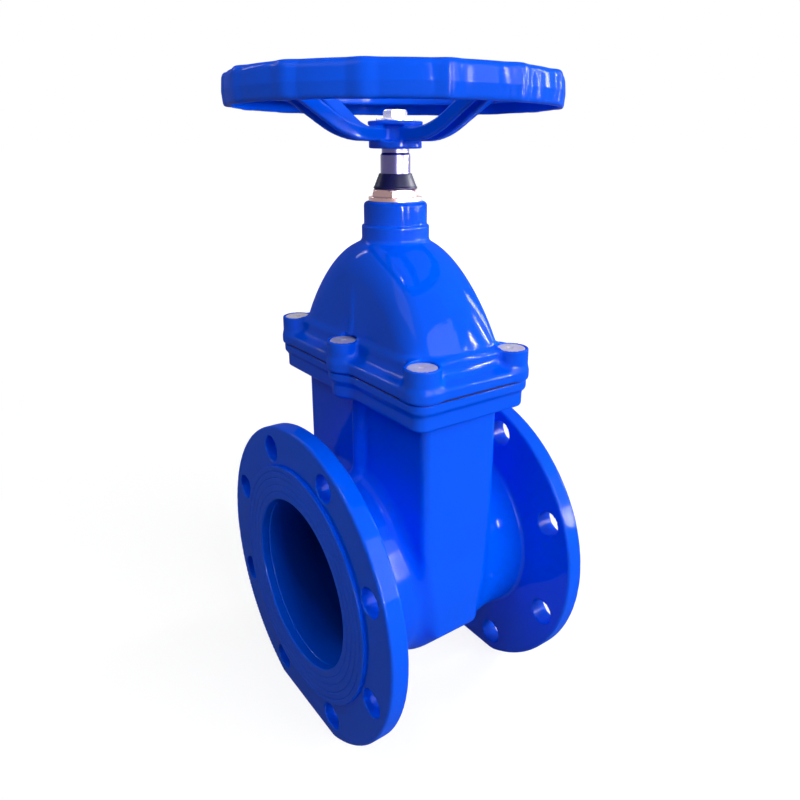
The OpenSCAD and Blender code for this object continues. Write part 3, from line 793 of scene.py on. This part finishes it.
STEM_R = 12.0
STEM_FOOT, STEM_TOP = node_span("stem")
THREAD_ROOT_R = 10.2
THREAD_FLANK = 1.6
THREAD_CREST = 2.0
THREAD_PITCH = 6.0
THREAD_FROM = STEM_FOOT + 3
COLLAR_R = 15.5
COLLAR_H = 5.0
COLLAR_Z = BONNET_TOP - 19
THREAD_TO = COLLAR_Z - 52
STEM_STEP_R = 11.0
STEM_END_R = 7.4
STEM_HOLE_IN_R = 4.4
STEM_HOLE_DEEP = 17.0
NUT_SPIGOT = node_span("gland_nut")[0] - BONNET_TOP
NUT_SPIGOT_R = 17.6
NUT_FLANGE_R = 21.9
NUT_FLANGE_H = 3.6
NUT_FLATS = 34.5
NUT_TURN = 18
NUT_H = 9.6
NUT_CONE = (18.6, 8.6, 0.9, 1.35)
NUT_BORE_R = STEM_R + 0.1
CAP_FOOT, CAP_TOP = node_span("dust_cap")
CAP_BORE_R = STEM_R + 0.35
WASHER_FOOT, WASHER_TOP = node_span("wheel_washer")
WASHER_R = 15.3
WASHER_BORE_R = 4.6
BOLT_SHANK = node_span("wheel_bolt")[0] - WASHER_TOP
BOLT_SHANK_R = 4.0
BOLT_FLATS = 17
BOLT_TURN = 10
BOLT_H = 6.5
BOLT_CONE = (9.2, 5.6, 1.4, 1.7)
BOLT_DENT_R = 6.2
BOLT_DENT_FOOT = 6.1


def gland_nut_field(x, y, z):
    """Hexagon with chamfered corners on a round flange, above the boss."""
    rho = reach(x, y)
    flange = blend_cut(rho - NUT_FLANGE_R, slab(z, 0, NUT_FLANGE_H), 0.6)
    block = blend_cut(hexagon(x, y, NUT_FLATS, NUT_TURN), slab(z, 1, NUT_H), 0.5)
    block = blend_cut(block, cone(rho, z, *NUT_CONE), 0.4)
    spigot = np.maximum(rho - NUT_SPIGOT_R, slab(z, NUT_SPIGOT, 1))
    solid = np.minimum(blend_union(flange, block, 0.8), spigot)
    return np.maximum(solid, NUT_BORE_R - rho)


def build_gland_nut():
    side = spaced(-22.6, 0.7, 22.6)
    zs = spaced(NUT_SPIGOT - 1, 1.2, -1.2, 0.5, 10.6)
    return casting("gland_nut_hex", gland_nut_field, (side, side, zs), BONNET_TOP)


def build_dust_cap():
    """Conical rubber cap with a soft lip at its foot and a wiping lip round the stem."""
    high = CAP_TOP - CAP_FOOT
    section = [
        (CAP_BORE_R, 0.0, 0.2),
        (16.9, 0.0, 0.4),
        (17.7, 0.5, 0.5),
        (17.7, 1.4, 0.6),
        (17.0, 2.2, 1.2),
        (13.3, high - 0.6, 0.4),
        (13.0, high, 0.3),
        (CAP_BORE_R, high, 0.2),
    ]
    return revolve("dust_cap_cone", section, CAP_FOOT, closed=True)


def build_stem():
    """Turned stem: thread below, thrust collar, plain shank and a stepped top."""
    section = [(0.05, STEM_FOOT, 0), (10.5, STEM_FOOT, 0.8)]
    z = THREAD_FROM
    while z < THREAD_TO:
        section += [
            (THREAD_ROOT_R, z, 0.2),
            (STEM_R, z + THREAD_FLANK, 0.2),
            (STEM_R, z + THREAD_FLANK + THREAD_CREST, 0.2),
            (THREAD_ROOT_R, z + THREAD_FLANK + THREAD_CREST + THREAD_FLANK, 0.2),
        ]
        z += THREAD_PITCH
    section += [
        (STEM_R, z + THREAD_FLANK, 0.3),
        (STEM_R, COLLAR_Z, 0.2),
        (COLLAR_R, COLLAR_Z, 0.3),
        (COLLAR_R, COLLAR_Z + COLLAR_H, 0.3),
        (STEM_R, COLLAR_Z + COLLAR_H, 0.2),
        (STEM_R, HUB_Z - 5, 0.8),
        (STEM_STEP_R, HUB_Z - 3.2, 0.5),
        (STEM_STEP_R, HUB_Z, 0.3),
        (STEM_END_R, HUB_Z + 0.2, 0.2),
        (STEM_END_R, STEM_TOP, 0.4),
        (STEM_HOLE_IN_R, STEM_TOP, 0.2),
        (STEM_HOLE_IN_R, STEM_TOP - STEM_HOLE_DEEP, 0.2),
        (0.05, STEM_TOP - STEM_HOLE_DEEP, 0),
    ]
    return revolve("stem_turned", section, 0, segments=64)


def build_washer():
    high = WASHER_TOP - WASHER_FOOT
    section = [
        (WASHER_BORE_R, 0, 0.2),
        (WASHER_R, 0, 0.5),
        (WASHER_R, high, 0.6),
        (WASHER_BORE_R, high, 0.2),
    ]
    return revolve("wheel_washer_turned", section, WASHER_FOOT, closed=True)


def wheel_bolt_field(x, y, z):
    """Hexagon head with a chamfered, dished top, over its shank."""
    rho = reach(x, y)
    head = blend_cut(hexagon(x, y, BOLT_FLATS, BOLT_TURN), slab(z, 0, BOLT_H), 0.35)
    head = blend_cut(head, cone(rho, z, *BOLT_CONE), 0.3)
    head = np.maximum(head, -np.maximum(rho - BOLT_DENT_R, BOLT_DENT_FOOT - z))
    shank = np.maximum(rho - BOLT_SHANK_R, slab(z, BOLT_SHANK, 1))
    return np.minimum(head, shank)


def build_wheel_bolt():
    side = spaced(-10.4, 0.45, 10.4)
    zs = spaced(BOLT_SHANK - 1, 1.2, -0.8, 0.45, 7.2)
    return casting("wheel_bolt_hex", wheel_bolt_field, (side, side, zs), WASHER_TOP)


def build_seal(number):
    """Poured wax over one bonnet bolt, with a small dent left at its middle."""
    low, high = node_mm("bolt_seal_%d" % number)
    centre = (low + high) / 2
    top = high[2] - low[2]
    section = [
        (0.05, 0, 0),
        (SEAL_R - 0.2, 0, 0.3),
        (SEAL_R, top - 0.5, 0.8),
        (SEAL_R - 1.6, top - 0.1, 1.5),
        (6.0, top - 0.35, 2),
        (2.6, top - 0.5, 1),
        (1.6, top - 1.3, 0.6),
        (0.05, top - 1.4, 0),
    ]
    piece = revolve("wax_seal_%d" % number, section, 0, segments=64)
    piece.data.transform(Matrix.Translation((centre[0] * MM, centre[1] * MM, low[2] * MM)))
    return piece


# ---------------------------------------------------------------- the wedge
# z counts from the pipe's axis.

WEDGE_INSET = 13.0
WEDGE_R = 79.0
WEDGE_TOP = 90.0
WEDGE_EDGE = 7.0
WEDGE_TOP_EDGE = 2.0
WEDGE_TOP_HALF = 18.5
WEDGE_NARROWS = 60.0
WEDGE_NARROWS_LONG = 30.0
WEDGE_FACE_R = 62.0
WEDGE_FACE_DEEP = 3.0
WEDGE_FACE_SLOPE = 7.0
SHOULDER_FROM = 40.0
SHOULDER_LEAN = 1.2
SHOULDER_SCALE = 1.56
TUBE_R = 19.0
TUBE_FOOT = -69.0
TUBE_EDGE = 2.0
TUBE_FILLET = 5.0
TUBE_HOLE_R = 14.0
TUBE_HOLE_FOOT = -96.0
FAR_INSIDE = -50.0


def wedge_half(z, rho):
    """Half thickness: less towards the top, and hollowed inside the sealing rim."""
    half = chest_half(z) - WEDGE_INSET
    share = np.clip((z - WEDGE_NARROWS) / WEDGE_NARROWS_LONG, 0, 1)
    half = np.where(z > WEDGE_NARROWS, half - (half - WEDGE_TOP_HALF) * share, half)
    return half - WEDGE_FACE_DEEP * ease(WEDGE_FACE_R - rho, 0, WEDGE_FACE_SLOPE)


def wedge_field(x, y, z):
    """Rubber-covered gate: a raised sealing rim round a hollowed face, and the stem tube."""
    rho = reach(y, z)
    round_foot = np.where(z < 0, rho - WEDGE_R, FAR_INSIDE)
    shoulder = abs(y) - WEDGE_R + SHOULDER_LEAN * np.maximum(z - SHOULDER_FROM, 0)
    shoulder = shoulder / np.where(z > SHOULDER_FROM, SHOULDER_SCALE, 1)
    plan = np.maximum(round_foot, shoulder)
    gate = blend_cut(abs(x) - wedge_half(z, rho), plan, WEDGE_EDGE)
    gate = blend_cut(gate, z - WEDGE_TOP, WEDGE_TOP_EDGE)
    stem_rho = reach(x, y)
    tube = blend_cut(stem_rho - TUBE_R, slab(z, TUBE_FOOT, WEDGE_TOP), TUBE_EDGE)
    gate = blend_union(gate, tube, TUBE_FILLET)
    return np.maximum(gate, -np.maximum(stem_rho - TUBE_HOLE_R, TUBE_HOLE_FOOT - z))


def build_wedge():
    xs = spaced(-28, 1.8, 28)
    ys = spaced(-82, 2.4, 82)
    zs = spaced(-82, 2.4, 93)
    return casting("wedge_casting", wedge_field, (xs, ys, zs), AXIS_Z)


# ---------------------------------------------------------------- camera, floor and light
# In metres from here on.

CAMERA_SPOT = (-0.3288, -0.4685, 0.4959)
CAMERA_AIM = (0.01426, 0, 0.30551)
CAMERA_ROLL = math.radians(0.235)
CAMERA_LENS = 30.806
CAMERA_SHIFT = (-0.01108, -0.03844)
CAMERA_NEAR = 0.01
LAMP_FAR = 6.0
LAMP_AIM = (0, 0, 0.27)
WORLD_LEVEL = 0.05
FLOOR_HALF = 80.0
FLOOR_Z = -0.0002
FLOOR_TONE = 0.26
FLOOR_GLOW = 0.84
FLOOR_FADE_AT = (1.0, 3.0)


def aim(at, target, roll):
    """Rotation that looks from one point to another, with the right axis turned up by roll."""
    forward = (Vector(target) - Vector(at)).normalized()
    right = forward.cross(Vector((0, 0, 1))).normalized()
    up = right.cross(forward)
    c, s = math.cos(roll), math.sin(roll)
    right, up = right * c + up * s, up * c - right * s
    return Matrix((right, up, -forward)).transposed().to_4x4()


def set_camera():
    data = bpy.data.cameras.new("camera")
    camera = new_object("camera", data)
    look = aim(CAMERA_SPOT, CAMERA_AIM, CAMERA_ROLL)
    camera.matrix_world = Matrix.Translation(CAMERA_SPOT) @ look
    data.sensor_width = 36
    data.lens = CAMERA_LENS
    data.shift_x, data.shift_y = CAMERA_SHIFT
    data.clip_start = CAMERA_NEAR
    data.dof.use_dof = False
    bpy.context.scene.camera = camera


def softbox(name, at, target, wide, high, level):
    """Rectangular lamp, its sides in metres; a white surface square to it shows the level."""
    away = (Vector(at) - Vector(target)).length
    data = bpy.data.lights.new(name, "AREA")
    data.shape = "RECTANGLE"
    data.size = wide
    data.size_y = high
    data.energy = level * (math.pi * away) ** 2
    lamp = new_object(name, data)
    lamp.matrix_world = Matrix.Translation(at) @ aim(at, target, 0)
    return lamp


def window(name, azimuth, elevation, wide, high, level, gleam=0):
    """A far window: its direction and angular size in degrees, and its level as light.

    Azimuth turns from +X to +Y. Gleam adds so many times the level in reflections only."""
    turn, rise = math.radians(azimuth), math.radians(elevation)
    flat = math.cos(rise)
    way = Vector((flat * math.cos(turn), flat * math.sin(turn), math.sin(rise)))
    at = Vector(LAMP_AIM) + way * LAMP_FAR
    sides = [2 * LAMP_FAR * math.tan(math.radians(angle) / 2) for angle in (wide, high)]
    softbox(name, at, LAMP_AIM, *sides, level)
    if gleam:
        shine = softbox(name + "_gleam", at, LAMP_AIM, *sides, level * gleam)
        shine.visible_diffuse = False


def maths(tree, operation, *values):
    """Output of a math node; each value is a number or another node's output."""
    node = tree.nodes.new("ShaderNodeMath")
    node.operation = operation
    for socket, value in zip(node.inputs, values):
        if isinstance(value, (int, float)):
            socket.default_value = value
        else:
            tree.links.new(value, socket)
    return node.outputs["Value"]


def seen_directly(tree):
    """1 for camera, glossy and transmission rays, else 0."""
    path = tree.nodes.new("ShaderNodeLightPath")
    seen = path.outputs["Is Camera Ray"]
    for ray in ("Is Glossy Ray", "Is Transmission Ray"):
        seen = maths(tree, "MAXIMUM", seen, path.outputs[ray])
    return seen


def background(tree, strength):
    """White background of a given strength."""
    node = tree.nodes.new("ShaderNodeBackground")
    node.inputs["Color"].default_value = (1, 1, 1, 1)
    node.inputs["Strength"].default_value = strength
    return node.outputs["Background"]


def set_world():
    """Faint plain light, with a white background where it is seen."""
    world = bpy.data.worlds.new("studio")
    bpy.context.scene.world = world
    world.use_nodes = True
    tree = world.node_tree
    tree.nodes.clear()
    mix = tree.nodes.new("ShaderNodeMixShader")
    out = tree.nodes.new("ShaderNodeOutputWorld")
    tree.links.new(seen_directly(tree), mix.inputs["Fac"])
    tree.links.new(background(tree, WORLD_LEVEL), mix.inputs[1])
    tree.links.new(background(tree, 1.0), mix.inputs[2])
    tree.links.new(mix.outputs[0], out.inputs["Surface"])


def floor_material():
    """Pale matt floor near the object, which fades to the white of the background far off."""
    material = bpy.data.materials.new("pale_floor")
    material.use_nodes = True
    tree = material.node_tree
    tree.nodes.clear()
    matt = tree.nodes.new("ShaderNodeBsdfDiffuse")
    matt.inputs["Color"].default_value = (FLOOR_TONE, FLOOR_TONE, FLOOR_TONE, 1)
    where = tree.nodes.new("ShaderNodeTexCoord")
    far = tree.nodes.new("ShaderNodeVectorMath")
    far.operation = "LENGTH"
    tree.links.new(where.outputs["Object"], far.inputs[0])
    fade = tree.nodes.new("ShaderNodeMapRange")
    fade.interpolation_type = "SMOOTHSTEP"
    fade.inputs["From Min"].default_value = FLOOR_FADE_AT[0]
    fade.inputs["From Max"].default_value = FLOOR_FADE_AT[1]
    fade.inputs["To Min"].default_value = FLOOR_GLOW
    fade.inputs["To Max"].default_value = 1.0
    tree.links.new(far.outputs["Value"], fade.inputs["Value"])
    glow = tree.nodes.new("ShaderNodeEmission")
    glow.inputs["Color"].default_value = (1, 1, 1, 1)
    seen = maths(tree, "MULTIPLY", seen_directly(tree), fade.outputs["Result"])
    tree.links.new(seen, glow.inputs["Strength"])
    add = tree.nodes.new("ShaderNodeAddShader")
    out = tree.nodes.new("ShaderNodeOutputMaterial")
    tree.links.new(matt.outputs[0], add.inputs[0])
    tree.links.new(glow.outputs[0], add.inputs[1])
    tree.links.new(add.outputs[0], out.inputs["Surface"])
    return material


def make_floor():
    """Wide plain floor, a hair below the valve's feet."""
    bm = bmesh.new()
    bmesh.ops.create_grid(bm, x_segments=1, y_segments=1, size=FLOOR_HALF)
    mesh = bpy.data.meshes.new("floor")
    bm.to_mesh(mesh)
    bm.free()
    mesh.materials.append(floor_material())
    floor = new_object("floor", mesh)
    floor.location.z = FLOOR_Z


def set_studio():
    """One wide soft light from the front, and narrow windows that show as highlights."""
    bpy.context.scene.view_settings.view_transform = "Standard"
    set_camera()
    set_world()
    make_floor()
    window("front_light", -78, 24, 44, 40, 1.12)
    window("front_window", -99, 9, 6, 40, 0.06, 350)
    window("front_pane", -79, 9, 5, 40, 0.04, 300)
    window("right_window", -48, 12, 3, 26, 0.03, 250)
    window("right_pane", -37, 12, 3, 30, 0.03, 300)
    window("side_pane", -19, 12, 3, 30, 0.03, 300)
    window("side_window", -8, 19, 5, 22, 0.45, 12)
    window("back_window", 115, 30, 4, 18, 0.12, 10)
    window("roof_window", -150, 72, 6, 4, 0.08, 9)
    softbox("upper_left_box", (-0.7, -0.15, 0.95), (-0.04, 0, 0.4), 0.5, 0.4, 0.2)


# ---------------------------------------------------------------- materials

BLUE = (0.0, 0.09, 0.86)
# Painted shade: a darker blue standing in for the shade deep inside the pipe way, not a colour of
# the coating.
PAINTED_SHADE_BLUE = (0.0, 0.028, 0.32)
ZINC, ZINC_TINT = (0.70, 0.70, 0.76), (0.55, 0.55, 0.62)
STEEL, STEEL_TINT = (0.10, 0.09, 0.21), (0.06, 0.055, 0.15)
BRASS, BRASS_TINT = (0.34, 0.225, 0.215), (0.28, 0.18, 0.2)
BLACK = (0.009, 0.010, 0.075)
GATE_BLACK = (0.016, 0.016, 0.024)
WAX, WAX_CLOUD = (0.30, 0.28, 0.45), (0.62, 0.60, 0.74)
# Where the painted bore shade is full, along the pipe from the stem axis, and how far past the
# bore's radius it reaches.
BORE_SHADE_FULL_AT = 50.0
BORE_SHADE_MARGIN = 1.2


def principled(name, **values):
    """A new material, its tree and its shader with some inputs set; _ stands for a space."""
    material = bpy.data.materials.new(name)
    material.use_nodes = True
    tree = material.node_tree
    shader = tree.nodes["Principled BSDF"]
    for socket, value in values.items():
        shader.inputs[socket.replace("_", " ")].default_value = value
    return material, tree, shader


def object_noise(tree, scale, detail=2.0, rough=0.5, stretch=(1, 1, 1)):
    """Noise over the object's own coordinates; scale counts waves in a metre."""
    where = tree.nodes.new("ShaderNodeTexCoord")
    squeeze = tree.nodes.new("ShaderNodeMapping")
    squeeze.inputs["Scale"].default_value = stretch
    noise = tree.nodes.new("ShaderNodeTexNoise")
    noise.inputs["Scale"].default_value = scale
    noise.inputs["Detail"].default_value = detail
    noise.inputs["Roughness"].default_value = rough
    tree.links.new(where.outputs["Object"], squeeze.inputs["Vector"])
    tree.links.new(squeeze.outputs["Vector"], noise.inputs["Vector"])
    return noise.outputs["Fac"]


def mixed(tree, factor, a, b):
    """A colour that goes from a to b with the factor."""
    mix = tree.nodes.new("ShaderNodeMix")
    mix.data_type = "RGBA"
    mix.inputs["A"].default_value = (*a, 1)
    mix.inputs["B"].default_value = (*b, 1)
    tree.links.new(factor, mix.inputs["Factor"])
    return mix.outputs["Result"]


def add_bump(tree, shader, *heights):
    """Chains bumps, each a height output with its depth in millimetres."""
    normal = None
    for height, depth in heights:
        bump = tree.nodes.new("ShaderNodeBump")
        bump.inputs["Strength"].default_value = 1.0
        bump.inputs["Distance"].default_value = depth * MM
        tree.links.new(height, bump.inputs["Height"])
        if normal is not None:
            tree.links.new(normal, bump.inputs["Normal"])
        normal = bump.outputs["Normal"]
    tree.links.new(normal, shader.inputs["Normal"])
    return normal


def bore_shade_mask(tree):
    """Mask of painted shade: 0 outside the pipe way and at its mouths, rising to 1 deep inside.
    """
    where = tree.nodes.new("ShaderNodeTexCoord")
    place = tree.nodes.new("ShaderNodeSeparateXYZ")
    tree.links.new(where.outputs["Object"], place.inputs["Vector"])
    height = maths(tree, "SUBTRACT", place.outputs["Z"], AXIS_Z * MM)
    square = maths(tree, "MULTIPLY", height, height)
    square = maths(tree, "MULTIPLY_ADD", place.outputs["Y"], place.outputs["Y"], square)
    inside = maths(tree, "LESS_THAN", maths(tree, "SQRT", square), (BORE_R + BORE_SHADE_MARGIN) * MM)
    depth = tree.nodes.new("ShaderNodeMapRange")
    depth.inputs["From Min"].default_value = FACE_END * MM
    depth.inputs["From Max"].default_value = BORE_SHADE_FULL_AT * MM
    tree.links.new(maths(tree, "ABSOLUTE", place.outputs["X"]), depth.inputs["Value"])
    return maths(tree, "MULTIPLY", inside, depth.outputs["Result"])


def blue_coating():
    """Thick glossy blue coating with orange peel, darkened by painted shade deep in the pipe way.
    """
    material, tree, shader = principled(
        "blue_coating",
        Roughness=0.2,
        Specular_IOR_Level=0.0,
        Coat_Weight=0.055,
        Coat_Roughness=0.04,
        Coat_IOR=2.0,
    )
    # painted shade: the blue turns darker deep inside the pipe way
    tone = mixed(tree, bore_shade_mask(tree), BLUE, PAINTED_SHADE_BLUE)
    tree.links.new(tone, shader.inputs["Base Color"])
    broad = object_noise(tree, 55, 1.0)
    fine = object_noise(tree, 190, 1.0)
    normal = add_bump(tree, shader, (broad, 0.25), (fine, 0.06))
    tree.links.new(normal, shader.inputs["Coat Normal"])
    return material


def metal(name, color, tint, rough, stretch, rings):
    """Turned or plated metal: fine tool rings and slightly uneven tone and gloss."""
    material, tree, shader = principled(name, Metallic=1.0)
    blotch = object_noise(tree, 90, 3.0, 0.6)
    tree.links.new(mixed(tree, blotch, color, tint), shader.inputs["Base Color"])
    gloss = tree.nodes.new("ShaderNodeMapRange")
    gloss.inputs["To Min"].default_value = rough * 0.8
    gloss.inputs["To Max"].default_value = rough * 1.3
    tree.links.new(blotch, gloss.inputs["Value"])
    tree.links.new(gloss.outputs["Result"], shader.inputs["Roughness"])
    add_bump(tree, shader, (object_noise(tree, rings, 3.0, stretch=stretch), 0.02))
    return material


def rubber(name, color, rough):
    """Moulded rubber with a fine dull grain."""
    material, tree, shader = principled(name, Roughness=rough, Specular_IOR_Level=0.02)
    dark, pale = [c * 0.7 for c in color], [c * 1.4 for c in color]
    tone = mixed(tree, object_noise(tree, 140, 4.0, 0.6), dark, pale)
    tree.links.new(tone, shader.inputs["Base Color"])
    grain, waves = object_noise(tree, 900, 2.0), object_noise(tree, 60, 1.0)
    add_bump(tree, shader, (grain, 0.03), (waves, 0.1))
    return material


def grey_wax():
    """Translucent grey sealing wax with a cloudy tone and a handled surface."""
    material, tree, shader = principled(
        "grey_wax", Roughness=0.28, Subsurface_Weight=0.25, Subsurface_Scale=0.004
    )
    tone = mixed(tree, object_noise(tree, 160, 3.0, 0.6), WAX, WAX_CLOUD)
    tree.links.new(tone, shader.inputs["Base Color"])
    dents, grain = object_noise(tree, 120, 2.0), object_noise(tree, 700, 2.0)
    add_bump(tree, shader, (dents, 0.35), (grain, 0.04))
    return material


# ---------------------------------------------------------------- the whole valve


def place(piece, body_name, replaced, slot_name, material):
    """Rides, replaces and dresses one piece."""
    piece.data.materials.append(material)
    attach(piece, body_name)
    if replaced:
        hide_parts(*replaced)


def dress(names, material):
    """Gives CAD nodes that stay a finished material."""
    for name in names:
        mesh = frame["nodes"][name].data
        mesh.materials.clear()
        mesh.materials.append(material)


def build_valve():
    coating = blue_coating()
    zinc = metal("zinc_steel", ZINC, ZINC_TINT, 0.22, (1, 1, 1), 500)
    steel = metal("stainless_stem", STEEL, STEEL_TINT, 0.17, (0.05, 0.05, 1), 2500)
    brass = metal("gland_brass", BRASS, BRASS_TINT, 0.22, (0.2, 0.2, 1), 900)
    black = rubber("black_rubber", BLACK, 0.4)
    gate_skin = rubber("rubber_covered_iron", GATE_BLACK, 0.32)
    wax = grey_wax()
    place(build_body(), "valve", ["valve_body"], "blue_coating", coating)
    place(sealing_face("inlet_face", -1), "valve", [], "blue_coating", coating)
    place(sealing_face("outlet_face", 1), "valve", [], "blue_coating", coating)
    place(build_bonnet(), "valve", ["bonnet"], "blue_coating", coating)
    place(build_wheel(), "spindle", ["handwheel"], "blue_coating", coating)
    place(build_gland_nut(), "valve", ["gland_nut"], "gland_brass", brass)
    place(build_dust_cap(), "valve", ["dust_cap"], "black_rubber", black)
    place(build_stem(), "spindle", ["stem"], "stainless_stem", steel)
    place(build_washer(), "spindle", ["wheel_washer"], "zinc_steel", zinc)
    place(build_wheel_bolt(), "spindle", ["wheel_bolt"], "zinc_steel", zinc)
    place(build_wedge(), "gate", ["wedge"], "rubber_covered_iron", gate_skin)
    for number in range(1, 7):
        place(build_seal(number), "valve", ["bolt_seal_%d" % number], "grey_wax", wax)
    dress(["bonnet_bolt_%d" % k for k in range(1, 7)], zinc)
    dress(["bonnet_gasket"], black)
    dress(["wedge_nut"], brass)


set_studio()
build_valve()
